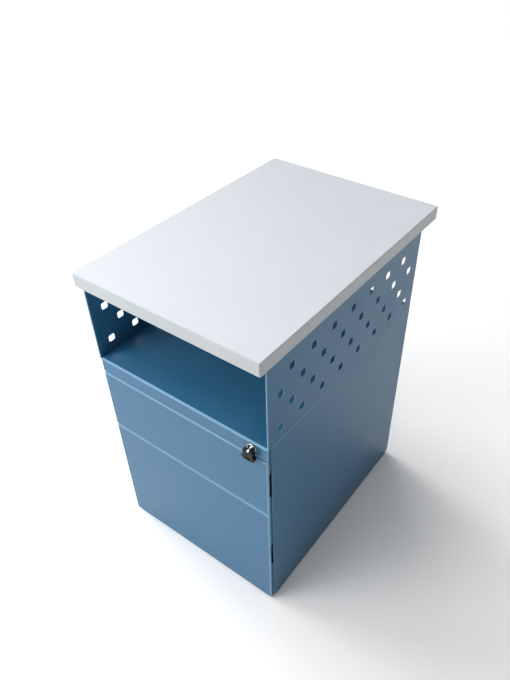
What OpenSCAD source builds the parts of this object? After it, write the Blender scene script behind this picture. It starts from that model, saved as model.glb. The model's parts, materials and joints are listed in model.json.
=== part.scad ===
// Two-drawer sheet-steel pedestal: an open niche with perforated sides over a lockable carcass,
// under a laminate board. +X is to the right seen from the front, the front faces -Y, +Z is up,
// and the origin is on the ground under the centre of the board.

/* [Cabinet] */
// Outside width of the cabinet and of its board
cab_w = 420; // [370:5:520]
// Depth of the cabinet from its front edge to its rear edge
cab_d = 525; // [515:5:640]
// Height of the niche floor above the ground
shelf_z = 496; // [470:1:620]
// Clear height of the niche
niche_h = 179; // [100:1:260]
// Thickness of the sheet steel
sheet = 1; // [0.8:0.1:1.2]
// Gap under the side panels
base_gap = 4; // [4:1:12]
// How far the lower side panels stand back from the front
side_setback = 9; // [5:1:12]
// Corner radius of the side panels at the ground
side_corner_r = 13; // [6:1:20]

/* [Board] */
// Thickness of the board
board_t = 28; // [18:1:36]
// How far the board reaches past the front
board_front = 15; // [14:1:30]
// How far the board reaches past the back
board_rear = 68; // [0:1:100]
// Corner radius of the board
board_corner_r = 3.5; // [3.5:0.5:25]
// Thickness of the edge band round the board
band_t = 2; // [1:0.5:3]

/* [Niche holes] */
// Width of a hole
hole_w = 15; // [8:1:24]
// Corner radius of a hole
hole_r = 3.5; // [1:0.5:3.5]
// Spacing of the holes from front to back
hole_pitch_y = 64.3; // [40:0.1:80]
// Spacing of the rows
hole_pitch_z = 39.6; // [30:0.1:50]
// Height of the lowest row above the niche floor
hole_first_z = 26.5; // [20:0.5:40]

/* [Drawers] */
// Depth of a drawer front, also of the lock rail
front_d = 18; // [16:1:24]
// Space from the outside of the cabinet to each end of a front
front_inset = 2; // [1.5:0.1:3]
// Height of the upper front
upper_front_h = 151; // [120:1:160]
// Height of the lock rail
rail_h = 33; // [32:1:36]
// Gap between the fronts and over the upper one
front_gap = 3; // [2:0.5:5]
// Outside bend radius of the fronts
bend_r = 2; // [1.5:0.5:3]
// Height of a finger pull at the face of its front
pull_h = 61; // [40:1:80]
// Height of the drawer box in the upper drawer
upper_box_h = 100; // [80:5:110]
// Height of the drawer box in the lower drawer
lower_box_h = 225; // [120:5:240]
// Length of a drawer box
box_d = 468; // [455:1:480]

/* [Slides] */
// Length of a slide
slide_l = 450; // [380:10:450]
// Height of a slide
slide_h = 36; // [34:1:46]
// Thickness of a slide, from its post to its drawer box
slide_t = 12.7; // [12.7:0.1:14]
// How far a slide post stands off its side wall
post_t = 7; // [7:0.5:12]

/* [Lock and key] */
// Distance of the lock from the right side
lock_side = 36; // [34:1:60]
// Diameter of the lock's bezel
bezel_d = 20; // [19:0.5:22]
// Diameter of the lock's barrel
barrel_d = 17; // [16:0.5:18]
// Diameter of the turning plug
plug_d = 12; // [11:0.5:13]
// Length of the key's head below its hinge
head_l = 21; // [18:1:32]
// Width of the key's head
head_w = 28; // [20:1:34]
// Thickness of the key's head
head_t = 8; // [6:0.5:9]

/* [Feet] */
// Diameter of a levelling foot's pad
pad_d = 32; // [24:1:40]
// Diameter of a foot's stud
stud_d = 8; // [6:1:10]

/* [Hidden] */

$fn = 48;
cut = 1;             // how far a cut runs past the face it opens
run = 0.3;           // gap between pieces that slide past each other
seat = 0.05;         // radial clearance of a shaft or screw in its hole

steel_blue = "#5f88a8";
deep_blue = "#3f5e7a";
board_white = "#dfe4ea";
zinc = "#b9bcc0";
bright = "#d5d7da";
black = "#17181a";
brass = "#b08d4a";

half_w = cab_w / 2;
board_d = board_front + cab_d + board_rear;
front_y = board_front - board_d / 2;
back_y = front_y + cab_d;
board_z = shelf_z + niche_h;
wall_x = half_w - sheet;                     // inner face of the side walls
flange_w = 22;                               // width of the flanges at the seam and under the board
flange_start = front_y + front_d + 4;        // the seam flanges start behind the lock rail
flange_end = back_y - 20;

rail_z = shelf_z - sheet - rail_h;
rail_y = front_y + sheet;
upper_z = rail_z - front_gap - upper_front_h;
lower_z = base_gap;
lower_front_h = upper_z - front_gap - lower_z;
front_w = cab_w - 2 * front_inset;
box_y = front_y + front_d;                   // front wall of the drawer boxes
box_half_w = wall_x - post_t - slide_t;
upper_box_z = upper_z + 17;
lower_box_z = lower_z + 30;                  // leaves room for the studs of the feet
slide_y = box_y + 26;
upper_slide_z = upper_box_z + 42;
lower_slide_z = lower_box_z + 110;
slide_x = wall_x - post_t;                   // mounting face of the outer slide members

base_z = base_gap + 8;                       // underside of the base panel
post_w = 28;
front_post_y = slide_y + 4;
rear_post_y = slide_y + slide_l - post_w - 4;
post_z = base_z + sheet;
post_top = shelf_z - 3 * sheet - 3;

lock_x = half_w - lock_side;
lock_z = rail_z + 18.5;
foot_x = half_w - 34;
foot_front_y = front_y + 60;
foot_rear_y = back_y - 40;

// A flat rectangle with rounded corners, centred, with true arcs
module rounded_rect(w, h, r) {
    square([w - 2 * r, h], center = true);
    square([w, h - 2 * r], center = true);
    for (x = [-1, 1]) {
        for (y = [-1, 1]) {
            translate([x * (w / 2 - r), y * (h / 2 - r)]) circle(r);
        }
    }
}

// Extrudes a drawing of the YZ plane along X, from x = x0 over the thickness t
module along_x(x0, t) {
    translate([x0, 0, 0]) rotate([90, 0, 90]) linear_extrude(t) children();
}

// Extrudes a drawing of the XZ plane along Y, from y = y0 over the length l
module along_y(y0, l) {
    translate([0, y0 + l, 0]) rotate([90, 0, 0]) linear_extrude(l) children();
}

// A block between two corners
module block(low, high) {
    translate(low) cube(high - low);
}

// Children drawn for the right side (1), or mirrored to the left side (-1)
module on_side(side) {
    mirror([side < 0 ? 1 : 0, 0, 0]) children();
}

// ---------------------------------------------------------------- board

module board_outline(margin) {
    rounded_rect(cab_w - 2 * margin, board_d - 2 * margin, board_corner_r - margin);
}

insert_d = 10;
insert_l = 12;
board_screw_d = 6;
board_screw_x = half_w - 14;
board_screw_ys = [front_y + 45, (front_y + back_y) / 2 + 12, back_y - 45];

module at_board_screws() {
    for (x = [-board_screw_x, board_screw_x]) {
        for (y = board_screw_ys) {
            translate([x, y, board_z]) children();
        }
    }
}

module top_board() {
    color(board_white)
    difference() {
        translate([0, 0, board_z]) linear_extrude(board_t) board_outline(band_t);
        at_board_screws() translate([0, 0, -cut]) cylinder(d = insert_d, h = insert_l + 4 + cut);
    }
}

module edge_band() {
    color(board_white)
    translate([0, 0, board_z])
    linear_extrude(board_t) {
        difference() {
            board_outline(0);
            board_outline(band_t);
        }
    }
}

module board_inserts() {
    color(brass)
    at_board_screws() {
        difference() {
            cylinder(d = insert_d, h = insert_l);
            translate([0, 0, -cut]) cylinder(d = board_screw_d + 2 * seat, h = insert_l + 2 * cut);
        }
    }
}

module board_screws() {
    color(zinc)
    at_board_screws() {
        translate([0, 0, -sheet]) cylinder(d = board_screw_d, h = 11);
        translate([0, 0, -sheet - 4]) {
            difference() {
                cylinder(d = 12, h = 4);
                translate([0, 0, -cut]) cylinder(d = 4, h = 2.5 + cut, $fn = 6);
            }
        }
    }
}

// ---------------------------------------------------------------- niche

hem_t = 3;            // thickness of a hemmed edge
hem_l = 12;           // width of a hem
shell_screw_ys = [flange_start + 30, (flange_start + flange_end) / 2, flange_end - 30];
shell_screw_x = half_w - 14;
shell_screw_d = 4;

// Section of a wall's vertical edge, folded back on itself, with the fold at y = 0
module hem_section() {
    r = hem_t / 2;
    translate([half_w - r, r]) {
        difference() {
            circle(r);
            circle(r - sheet);
            translate([-hem_t, 0]) square([2 * hem_t, hem_t]);
        }
    }
    translate([half_w - hem_t, r]) square([sheet, hem_l - r]);
    translate([wall_x, r]) square([sheet, hem_l - r]);
}

module niche_holes() {
    rows = floor((niche_h - 2 * hole_first_z + 1) / hole_pitch_z) + 1;
    columns = floor((cab_d - 2 * 24 - hole_w) / hole_pitch_y) + 1;
    middle_y = (front_y + back_y) / 2;
    along_x(wall_x - cut, sheet + 2 * cut) {
        for (row = [0:rows - 1]) {
            count = columns - row % 2;
            for (column = [0:count - 1]) {
                y = middle_y + (column - (count - 1) / 2) * hole_pitch_y;
                translate([y, shelf_z + hole_first_z + row * hole_pitch_z])
                    rounded_rect(hole_w, hole_w, hole_r);
            }
        }
    }
}

module niche_panel() {
    low = shelf_z - 2 * sheet;
    difference() {
        union() {
            block([wall_x, front_y + hem_l, low], [half_w, back_y - hem_l, board_z]);
            for (end = [0, 1]) {
                translate([0, end == 0 ? front_y : back_y, shelf_z])
                    mirror([0, end, 0])
                    linear_extrude(niche_h) hem_section();
                translate([0, end == 0 ? front_y : back_y, low])
                    mirror([0, end, 0])
                    translate([wall_x, hem_t / 2, 0]) cube([sheet, hem_l - hem_t / 2, 2 * sheet]);
            }
            block([half_w - flange_w, flange_start, low], [wall_x, flange_end, low + sheet]);
            block([half_w - flange_w - 4, front_y + hem_l + 2, board_z - sheet],
                  [wall_x, back_y - hem_l - 2, board_z]);
        }
        niche_holes();
        for (y = board_screw_ys) {
            translate([board_screw_x, y, board_z - sheet - cut])
                cylinder(d = board_screw_d + 2 * seat, h = sheet + 2 * cut);
        }
        for (y = shell_screw_ys) {
            translate([shell_screw_x, y, low - cut])
                cylinder(d = shell_screw_d + 2 * seat, h = sheet + 2 * cut);
        }
    }
}

module left_niche_panel() {
    color(deep_blue) on_side(-1) niche_panel();
}

module right_niche_panel() {
    color(deep_blue) on_side(1) niche_panel();
}

floor_lip_h = 5;      // drop of the rounded front edge of the niche floor
floor_rear_h = 14;    // drop of its rear edge
floor_bend_r = 2.5;

// Side section of the niche floor: a rounded front lip, the floor and a rear edge folded down
module floor_section() {
    top = shelf_z;
    translate([front_y + floor_bend_r, top - sheet])
        square([cab_d - floor_bend_r, sheet]);
    translate([front_y + floor_bend_r, top - floor_bend_r]) {
        difference() {
            circle(floor_bend_r);
            circle(floor_bend_r - sheet);
            translate([0, -2 * floor_bend_r]) square(4 * floor_bend_r);
            translate([-2 * floor_bend_r, -4 * floor_bend_r]) square(4 * floor_bend_r);
        }
    }
    translate([front_y, top - floor_lip_h]) square([sheet, floor_lip_h - floor_bend_r]);
    translate([back_y - sheet, top - floor_rear_h]) square([sheet, floor_rear_h]);
}

module niche_floor() {
    color(steel_blue)
    difference() {
        along_x(-wall_x, 2 * wall_x) floor_section();
        for (side = [-1, 1]) {
            for (y = [front_y - cut, back_y - hem_l - cut]) {
                translate([side * half_w, y + (hem_l + 2 * cut) / 2, shelf_z])
                    cube([2 * hem_t, hem_l + 2 * cut, 2 * floor_rear_h + 2], center = true);
            }
        }
    }
}

module shell_screws() {
    color(zinc)
    for (x = [-shell_screw_x, shell_screw_x]) {
        for (y = shell_screw_ys) {
            translate([x, y, shelf_z - 3 * sheet]) {
                cylinder(d = shell_screw_d, h = 2 * sheet);
                translate([0, 0, -2]) cylinder(d = 8, h = 2);
            }
        }
    }
}

// ---------------------------------------------------------------- carcass

// Outline of a lower side panel, seen from the side
module side_outline() {
    y0 = front_y + side_setback;
    z1 = shelf_z - 2 * sheet;
    r = side_corner_r;
    difference() {
        translate([y0, base_gap]) square([back_y - y0, z1 - base_gap]);
        translate([y0 - cut, base_gap - cut]) square([r + cut, r + cut]);
        translate([back_y - r, base_gap - cut]) square([r + cut, r + cut]);
    }
    intersection() {
        translate([y0, base_gap]) square(r);
        translate([y0 + r, base_gap + r]) circle(r);
    }
    intersection() {
        translate([back_y - r, base_gap]) square(r);
        translate([back_y - r, base_gap + r]) circle(r);
    }
}

module side_panel() {
    top = shelf_z - 2 * sheet;
    difference() {
        union() {
            along_x(wall_x, sheet) side_outline();
            block([half_w - flange_w, flange_start, top - sheet], [wall_x, flange_end, top]);
        }
        for (y = shell_screw_ys) {
            translate([shell_screw_x, y, top - sheet - cut])
                cylinder(d = shell_screw_d + 2 * seat, h = sheet + 2 * cut);
        }
    }
}

module left_side_panel() {
    color(steel_blue) on_side(-1) side_panel();
}

module right_side_panel() {
    color(steel_blue) on_side(1) side_panel();
}

rear_flange = 15;     // width of the flanges that join it to the side walls

module rear_panel() {
    y1 = back_y - sheet;
    low = base_z + sheet;
    color(steel_blue) {
        block([-wall_x, y1 - sheet, low], [wall_x, y1, shelf_z - sheet]);
        for (side = [-1, 1]) {
            on_side(side)
                block([wall_x - sheet, y1 - sheet - rear_flange, low],
                      [wall_x, y1 - sheet, shelf_z - sheet]);
        }
    }
}

base_front_y = box_y + 3;

module base_panel() {
    color(steel_blue)
    difference() {
        union() {
            block([-wall_x, base_front_y, base_z], [wall_x, back_y - sheet, base_z + sheet]);
            block([-wall_x, base_front_y, base_gap + 2], [wall_x, base_front_y + sheet, base_z]);
            block([-wall_x, back_y - 2 * sheet, base_gap + 2], [wall_x, back_y - sheet, base_z]);
        }
        at_feet() translate([0, 0, -cut]) cylinder(d = stud_d + 2 * seat, h = 30);
    }
}

// Three walls and a folded lip round a tray that is open to the rear
module tray(low_z, h, d, lip, lip_gap) {
    w = front_w;
    difference() {
        tray_block(w, d, h, bend_r, low_z, 0);
        tray_block(w - 2 * sheet, d - 2 * sheet, h - 2 * sheet, bend_r - sheet, low_z + sheet, sheet);
        translate([-w / 2 + lip, d - 2 * sheet, low_z + lip_gap])
            cube([w - 2 * lip, 3 * sheet, h - 2 * lip_gap]);
    }
}

// A block whose four front edges are rounded; y0 is its front face
module tray_block(w, d, h, r, low_z, y0) {
    intersection() {
        translate([0, y0, low_z]) linear_extrude(h) {
            translate([-w / 2, r]) square([w, d - r]);
            translate([-w / 2 + r, 0]) square([w - 2 * r, d]);
            for (x = [-w / 2 + r, w / 2 - r]) {
                translate([x, r]) circle(r);
            }
        }
        along_x(-w, 2 * w) {
            translate([y0 + r, low_z]) square([d - r, h]);
            translate([y0, low_z + r]) square([d, h - 2 * r]);
            for (z = [low_z + r, low_z + h - r]) {
                translate([y0 + r, z]) circle(r);
            }
        }
    }
}

module lock_rail() {
    color(steel_blue)
    difference() {
        translate([0, rail_y, 0]) tray(rail_z, rail_h, front_d - sheet, 6, 5);
        along_y(rail_y - cut, sheet + 2 * cut) {
            translate([lock_x, lock_z]) circle(d = barrel_d + 2 * seat);
        }
    }
}

// A hat-section post that stands the slides off a side wall, with its foot on the base panel
module slide_post(y0) {
    foot = 6;
    x0 = wall_x - post_t;
    difference() {
        union() {
            block([x0, y0, post_z], [wall_x, y0 + post_w, post_top]);
            block([wall_x - sheet, y0 - foot, post_z], [wall_x, y0 + post_w + foot, post_top]);
        }
        block([x0 + sheet, y0 + sheet, post_z - cut], [wall_x + cut, y0 + post_w - sheet, post_top + cut]);
        for (z = [upper_slide_z, lower_slide_z]) {
            translate([x0 - cut, y0 + post_w / 2, z]) rotate([0, 90, 0])
                cylinder(d = slide_screw_d + 2 * seat, h = sheet + 2 * cut);
        }
    }
}

module left_front_post() {
    color(zinc) on_side(-1) slide_post(front_post_y);
}

module left_rear_post() {
    color(zinc) on_side(-1) slide_post(rear_post_y);
}

module right_front_post() {
    color(zinc) on_side(1) slide_post(front_post_y);
}

module right_rear_post() {
    color(zinc) on_side(1) slide_post(rear_post_y);
}

// ---------------------------------------------------------------- feet

bracket_t = 3;
bracket_w = 44;
boss_d = 16;
boss_h = 9;
stud_spare = 10;      // length of stud above the boss, used as the foot screws out
pad_h = 6;
pad_r = 2;

module at_feet() {
    for (x = [-foot_x, foot_x]) {
        for (y = [foot_front_y, foot_rear_y]) {
            translate([x, y, base_z]) children();
        }
    }
}

module foot_brackets() {
    color(zinc)
    at_feet() {
        difference() {
            union() {
                translate([-bracket_w / 2, -bracket_w / 2, sheet]) cube([bracket_w, bracket_w, bracket_t]);
                translate([0, 0, sheet + bracket_t]) cylinder(d = boss_d, h = boss_h - bracket_t);
            }
            cylinder(d = stud_d + 2 * seat, h = 30);
        }
    }
}

// Places a piece at one foot: side -1 is left, 1 is right; end 0 is the front, 1 the rear
module at_foot(side, end) {
    translate([side * foot_x, end == 0 ? foot_front_y : foot_rear_y, 0]) children();
}

socket_h = 4;

// Plastic pad with a socket for its stud
module foot_pad() {
    color(black)
    difference() {
        rotate_extrude() {
            square([pad_d / 2, pad_h - pad_r]);
            square([pad_d / 2 - pad_r, pad_h]);
            translate([pad_d / 2 - pad_r, pad_h - pad_r]) circle(pad_r);
        }
        translate([0, 0, pad_h - socket_h]) cylinder(d = stud_d + 2 * seat, h = socket_h + cut);
    }
}

// Threaded stud, screwed in until its collar meets the base panel
module foot_stud() {
    color(zinc) {
        translate([0, 0, pad_h]) cylinder(d = stud_d + 5, h = base_z - pad_h - run, $fn = 6);
        translate([0, 0, pad_h - socket_h])
            cylinder(d = stud_d, h = base_z + sheet + boss_h + stud_spare - pad_h + socket_h);
    }
}

module front_left_foot_pad() {
    at_foot(-1, 0) foot_pad();
}

module front_left_foot_stud() {
    at_foot(-1, 0) foot_stud();
}

module front_right_foot_pad() {
    at_foot(1, 0) foot_pad();
}

module front_right_foot_stud() {
    at_foot(1, 0) foot_stud();
}

module rear_left_foot_pad() {
    at_foot(-1, 1) foot_pad();
}

module rear_left_foot_stud() {
    at_foot(-1, 1) foot_stud();
}

module rear_right_foot_pad() {
    at_foot(1, 1) foot_pad();
}

module rear_right_foot_stud() {
    at_foot(1, 1) foot_stud();
}

// ---------------------------------------------------------------- drawers

lip_w = front_w / 2 - box_half_w + 18;       // the front's rear lips overlap the box's front wall
lip_h = 24;
front_screw_x = box_half_w - 9;
front_screw_d = 5;
slide_screw_d = 4;

// A finger pull: a slot through a side return that widens towards the rear
module pull_cut(mid_z) {
    slant = side_setback;
    y0 = front_y + 1.4 * sheet;
    y1 = front_y + front_d - sheet;
    along_x(front_w / 2 - 2 * bend_r, 4 * bend_r) {
        polygon([
            [y0, mid_z - pull_h / 2],
            [y0 + slant, mid_z - pull_h / 2 - slant],
            [y1, mid_z - pull_h / 2 - slant],
            [y1, mid_z + pull_h / 2 + slant],
            [y0 + slant, mid_z + pull_h / 2 + slant],
            [y0, mid_z + pull_h / 2]]);
    }
}

module drawer_front(low_z, h, pull_z, screw_zs) {
    color(steel_blue)
    difference() {
        translate([0, front_y, 0]) tray(low_z, h, front_d, lip_w, lip_h);
        for (side = [-1, 1]) {
            on_side(side) {
                pull_cut(pull_z);
                for (z = screw_zs) {
                    translate([front_screw_x, box_y - 2 * sheet, z]) rotate([-90, 0, 0])
                        cylinder(d = front_screw_d + 2 * seat, h = 3 * sheet);
                }
            }
        }
    }
}

box_hem_w = 8;        // width of the inward hem on a box's side walls
box_hem_h = 6;        // drop of its inner edge

// The folded tray of a drawer box: floor, front wall and side walls that end in an inward hem
module drawer_box(low_z, h, slide_z, screw_zs, stud_z) {
    y1 = box_y + box_d;
    w = box_half_w;
    color(deep_blue)
    difference() {
        union() {
            difference() {
                block([-w, box_y, low_z], [w, y1, low_z + h]);
                block([-w + sheet, box_y + sheet, low_z + sheet], [w - sheet, y1 + cut, low_z + h + cut]);
            }
            for (side = [-1, 1]) {
                on_side(side) {
                    block([w - box_hem_w, box_y, low_z + h - sheet], [w, y1, low_z + h]);
                    block([w - box_hem_w, box_y, low_z + h - box_hem_h],
                          [w - box_hem_w + sheet, y1, low_z + h]);
                }
            }
        }
        for (side = [-1, 1]) {
            on_side(side) {
                for (z = screw_zs) {
                    translate([front_screw_x, box_y - cut, z]) rotate([-90, 0, 0])
                        cylinder(d = front_screw_d + 2 * seat, h = sheet + 2 * cut);
                }
                for (y = inner_screw_ys) {
                    translate([w - sheet - cut, y, slide_z]) rotate([0, 90, 0])
                        cylinder(d = slide_screw_d + 2 * seat, h = sheet + 2 * cut);
                }
            }
        }
        translate([w - sheet - cut, stud_y, stud_z]) rotate([0, 90, 0])
            cylinder(d = stud_neck_d + 2 * seat, h = sheet + 2 * cut);
    }
}

// The rear wall, welded in between the side walls and cut round their hems
module drawer_back(low_z, h) {
    y1 = box_y + box_d;
    w = box_half_w;
    color(deep_blue)
    difference() {
        block([-w + sheet, y1 - sheet, low_z + sheet], [w - sheet, y1, low_z + h]);
        for (side = [-1, 1]) {
            on_side(side)
                block([w - box_hem_w, y1 - 2 * sheet, low_z + h - box_hem_h],
                      [w + cut, y1 + cut, low_z + h + cut]);
        }
    }
}

inner_screw_ys = [slide_y + 40, slide_y + slide_l - 60];

// Screws of one drawer: its front to its box, and its box to the inner slide members
module drawer_screws(slide_z, screw_zs) {
    color(zinc)
    for (side = [-1, 1]) {
        on_side(side) {
            for (z = screw_zs) {
                translate([front_screw_x, box_y + sheet, z]) rotate([90, 0, 0]) {
                    cylinder(d = front_screw_d, h = 7);
                    translate([0, 0, -2.5]) cylinder(d = 9, h = 2.5);
                }
            }
            for (y = inner_screw_ys) {
                translate([box_half_w - sheet, y, slide_z]) rotate([0, 90, 0]) {
                    cylinder(d = slide_screw_d, h = 4);
                    translate([0, 0, -2]) cylinder(d = 8, h = 2);
                }
            }
        }
    }
}

upper_screw_zs = [upper_box_z + 12, upper_box_z + upper_box_h - 30];
lower_screw_zs = [lower_box_z + 30, lower_box_z + lower_box_h - 30];
upper_pull_z = upper_z + 87;
lower_pull_z = lower_z + 166;

module upper_drawer_front() {
    drawer_front(upper_z, upper_front_h, upper_pull_z, upper_screw_zs);
}

module upper_drawer_box() {
    drawer_box(upper_box_z, upper_box_h, upper_slide_z, upper_screw_zs, upper_stud_z);
}

module upper_drawer_back() {
    drawer_back(upper_box_z, upper_box_h);
}

module upper_drawer_screws() {
    drawer_screws(upper_slide_z, upper_screw_zs);
}

module upper_latch_stud() {
    latch_stud(upper_stud_z);
}

module lower_drawer_front() {
    drawer_front(lower_z, lower_front_h, lower_pull_z, lower_screw_zs);
}

module lower_drawer_box() {
    drawer_box(lower_box_z, lower_box_h, lower_slide_z, lower_screw_zs, lower_stud_z);
}

module lower_drawer_back() {
    drawer_back(lower_box_z, lower_box_h);
}

module lower_drawer_screws() {
    drawer_screws(lower_slide_z, lower_screw_zs);
}

module lower_latch_stud() {
    latch_stud(lower_stud_z);
}

// ---------------------------------------------------------------- slides

web_t = 1.2;          // sheet of the slide members
web_gap = 2.4;        // room for the screw heads between the outer and middle webs

// A C section of height h: its web lies at the depth web off the post, its lips span from - to
module slide_section(h, web, from, to) {
    translate([web, -h / 2]) square([web_t, h]);
    for (z = [-h / 2, h / 2 - web_t]) {
        translate([from, z]) square([to - from, web_t]);
    }
}

// One member of a slide on the right side, whose depth runs from the post towards the drawer
module slide_member(z, h, web, from, to, hole_ys) {
    color(zinc)
    difference() {
        translate([slide_x, slide_y, z])
            mirror([1, 0, 0])
            along_y(0, slide_l) slide_section(h, web, from, to);
        for (y = hole_ys) {
            translate([slide_x - web - web_t - cut, y, z]) rotate([0, 90, 0])
                cylinder(d = slide_screw_d + 2 * seat, h = web_t + 2 * cut);
        }
    }
}

outer_screw_ys = [front_post_y + post_w / 2, rear_post_y + post_w / 2];
step = web_t + run;

module outer_slide(z) {
    slide_member(z, slide_h, 0, 0, slide_t - 2.7, outer_screw_ys);
}

module middle_slide(z) {
    web = web_t + web_gap;
    slide_member(z, slide_h - 2 * step, web, web, slide_t - 1.7, []);
}

module inner_slide(z) {
    from = 2 * web_t + web_gap + run;
    slide_member(z, slide_h - 4 * step, slide_t - web_t, from, slide_t, inner_screw_ys);
}

module upper_left_outer_slide() {
    on_side(-1) outer_slide(upper_slide_z);
}

module upper_left_middle_slide() {
    on_side(-1) middle_slide(upper_slide_z);
}

module upper_left_inner_slide() {
    on_side(-1) inner_slide(upper_slide_z);
}

module upper_right_outer_slide() {
    on_side(1) outer_slide(upper_slide_z);
}

module upper_right_middle_slide() {
    on_side(1) middle_slide(upper_slide_z);
}

module upper_right_inner_slide() {
    on_side(1) inner_slide(upper_slide_z);
}

module lower_left_outer_slide() {
    on_side(-1) outer_slide(lower_slide_z);
}

module lower_left_middle_slide() {
    on_side(-1) middle_slide(lower_slide_z);
}

module lower_left_inner_slide() {
    on_side(-1) inner_slide(lower_slide_z);
}

module lower_right_outer_slide() {
    on_side(1) outer_slide(lower_slide_z);
}

module lower_right_middle_slide() {
    on_side(1) middle_slide(lower_slide_z);
}

module lower_right_inner_slide() {
    on_side(1) inner_slide(lower_slide_z);
}

// Screws that hold the outer slide members to the posts
module slide_screws() {
    color(zinc)
    for (side = [-1, 1]) {
        for (z = [upper_slide_z, lower_slide_z]) {
            for (y = outer_screw_ys) {
                on_side(side)
                    translate([slide_x - web_t, y, z]) rotate([0, 90, 0]) {
                        cylinder(d = slide_screw_d, h = 5);
                        translate([0, 0, -1.6]) cylinder(d = 8, h = 1.6);
                    }
            }
        }
    }
}

// ---------------------------------------------------------------- lock

bezel_t = 3;
barrel_l = 27;
plug_l = bezel_t + barrel_l + 1;
cam_t = 2;
cam_r = 7;                                   // radius on which the cam's pin turns
cam_pin_d = 4;
cam_y = rail_y - bezel_t + plug_l;
keyway_w = 2.6;
keyway_h = 8.4;
keyway_l = 28;

module lock_barrel() {
    color(bright)
    along_y_round(rail_y - bezel_t) {
        difference() {
            union() {
                cylinder(d1 = bezel_d - 3, d2 = bezel_d, h = 1.2);
                translate([0, 0, 1.2]) cylinder(d = bezel_d, h = bezel_t - 1.2);
                cylinder(d = barrel_d, h = bezel_t + barrel_l);
            }
            translate([0, 0, -cut]) cylinder(d = plug_d + 2 * seat, h = bezel_t + barrel_l + 2 * cut);
        }
    }
}

// Places round lock pieces on the lock's axis, from y = y0 towards the rear
module along_y_round(y0) {
    translate([lock_x, y0, lock_z]) rotate([-90, 0, 0]) children();
}

module lock_nut() {
    color(zinc)
    along_y_round(rail_y + sheet) {
        difference() {
            cylinder(d = 24, h = 4, $fn = 6);
            translate([0, 0, -cut]) cylinder(d = barrel_d + 2 * seat, h = 4 + 2 * cut);
        }
    }
}

module lock_plug() {
    color(bright)
    along_y_round(rail_y - bezel_t) {
        difference() {
            cylinder(d = plug_d, h = plug_l);
            translate([-keyway_w / 2, -keyway_h / 2, -cut]) cube([keyway_w, keyway_h, keyway_l + cut]);
            translate([0, 0, plug_l - 6]) cylinder(d = 3 + 2 * seat, h = 6 + cut);
        }
    }
}

// The cam turns with the plug, and its pin runs in the slot of the lock bar
module lock_cam() {
    color(zinc)
    translate([lock_x, cam_y, lock_z]) rotate([-90, 0, 0]) {
        difference() {
            union() {
                cylinder(d = 14, h = cam_t);
                rotate([0, 0, -45]) translate([0, -4, 0]) cube([cam_r, 8, cam_t]);
                rotate([0, 0, -45]) translate([cam_r, 0, 0]) cylinder(d = 8, h = cam_t);
                rotate([0, 0, -45]) translate([cam_r, 0, 0]) cylinder(d = cam_pin_d, h = cam_t + 5);
            }
            translate([0, 0, -cut]) cylinder(d = 3 + 2 * seat, h = cam_t + 2 * cut);
        }
    }
}

module cam_screw() {
    color(zinc)
    translate([lock_x, cam_y - 5, lock_z]) rotate([-90, 0, 0]) {
        cylinder(d = 3, h = 5 + cam_t);
        translate([0, 0, 5 + cam_t]) cylinder(d = 5, h = 1);
    }
}

bar_t = 2;
bar_w = 12;
bar_x = wall_x - 5.5;                        // inner face of the lock bar
bar_y = box_y + 5;                           // front edge of the lock bar
bar_low_z = lower_box_z + lower_box_h - 70;
arm_y = cam_y + cam_t + 1.5;
arm_h = 12;
bar_travel = cam_r * 2 * sin(45);
slot_clear = 0.6;
stud_head_d = 6;
stud_neck_d = 4;
stud_y = bar_y + 10;
upper_stud_z = upper_box_z + upper_box_h - 14;
lower_stud_z = lower_box_z + lower_box_h - 20;
hook_h = 14;
hook_t = 4;

// The lock bar: an upright strip with a slotted arm at its top and a hook for each drawer
module lock_bar() {
    pin_z = lock_z + bar_travel / 2;
    color(zinc)
    difference() {
        union() {
            block([bar_x, bar_y, bar_low_z], [bar_x + bar_t, bar_y + bar_w, pin_z + arm_h / 2]);
            block([lock_x, arm_y, pin_z - arm_h / 2], [bar_x + bar_t, arm_y + bar_t, pin_z + arm_h / 2]);
            for (z = [upper_stud_z, lower_stud_z]) {
                low = z + stud_head_d / 2 + 1.5;
                block([bar_x - 7, bar_y, low], [bar_x, bar_y + hook_t, low + hook_h]);
            }
        }
        along_y(arm_y - cut, bar_t + 2 * cut) {
            h = cam_pin_d + 2 * slot_clear;
            x0 = lock_x + cam_r * cos(45) - cam_pin_d / 2 - 1;
            x1 = lock_x + cam_r + cam_pin_d / 2 + 1;
            translate([x0, pin_z - h / 2]) square([x1 - x0, h]);
        }
    }
}

guide_l = 10;

// U-shaped guides on the side wall that hold the lock bar
module bar_guides() {
    inner = bar_x - run;
    color(zinc)
    for (z = [bar_low_z + 24, upper_box_z - 22, post_top - 42]) {
        difference() {
            block([inner - sheet, bar_y - run - sheet, z],
                  [wall_x, bar_y + bar_w + run + sheet, z + guide_l]);
            block([inner, bar_y - run, z - cut],
                  [bar_x + bar_t + run, bar_y + bar_w + run, z + guide_l + cut]);
        }
    }
}

// A stud on the right side of a drawer box that the hook drops in front of
module latch_stud(z) {
    color(zinc)
    translate([box_half_w, stud_y, z]) rotate([0, 90, 0]) {
        translate([0, 0, -sheet]) cylinder(d = stud_neck_d, h = sheet);
        cylinder(d = stud_head_d, h = bar_x - 1.2 - box_half_w);
        translate([0, 0, -sheet - 1.5]) cylinder(d = 7, h = 1.5);
    }
}

// ---------------------------------------------------------------- key

blade_t = 2.4;
blade_h = 8;
hinge_y = rail_y - bezel_t - 7;              // axis on which the key's head folds
tongue_t = 3;
tongue_r = 3.6;
key_pin_d = 2.5;

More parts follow.
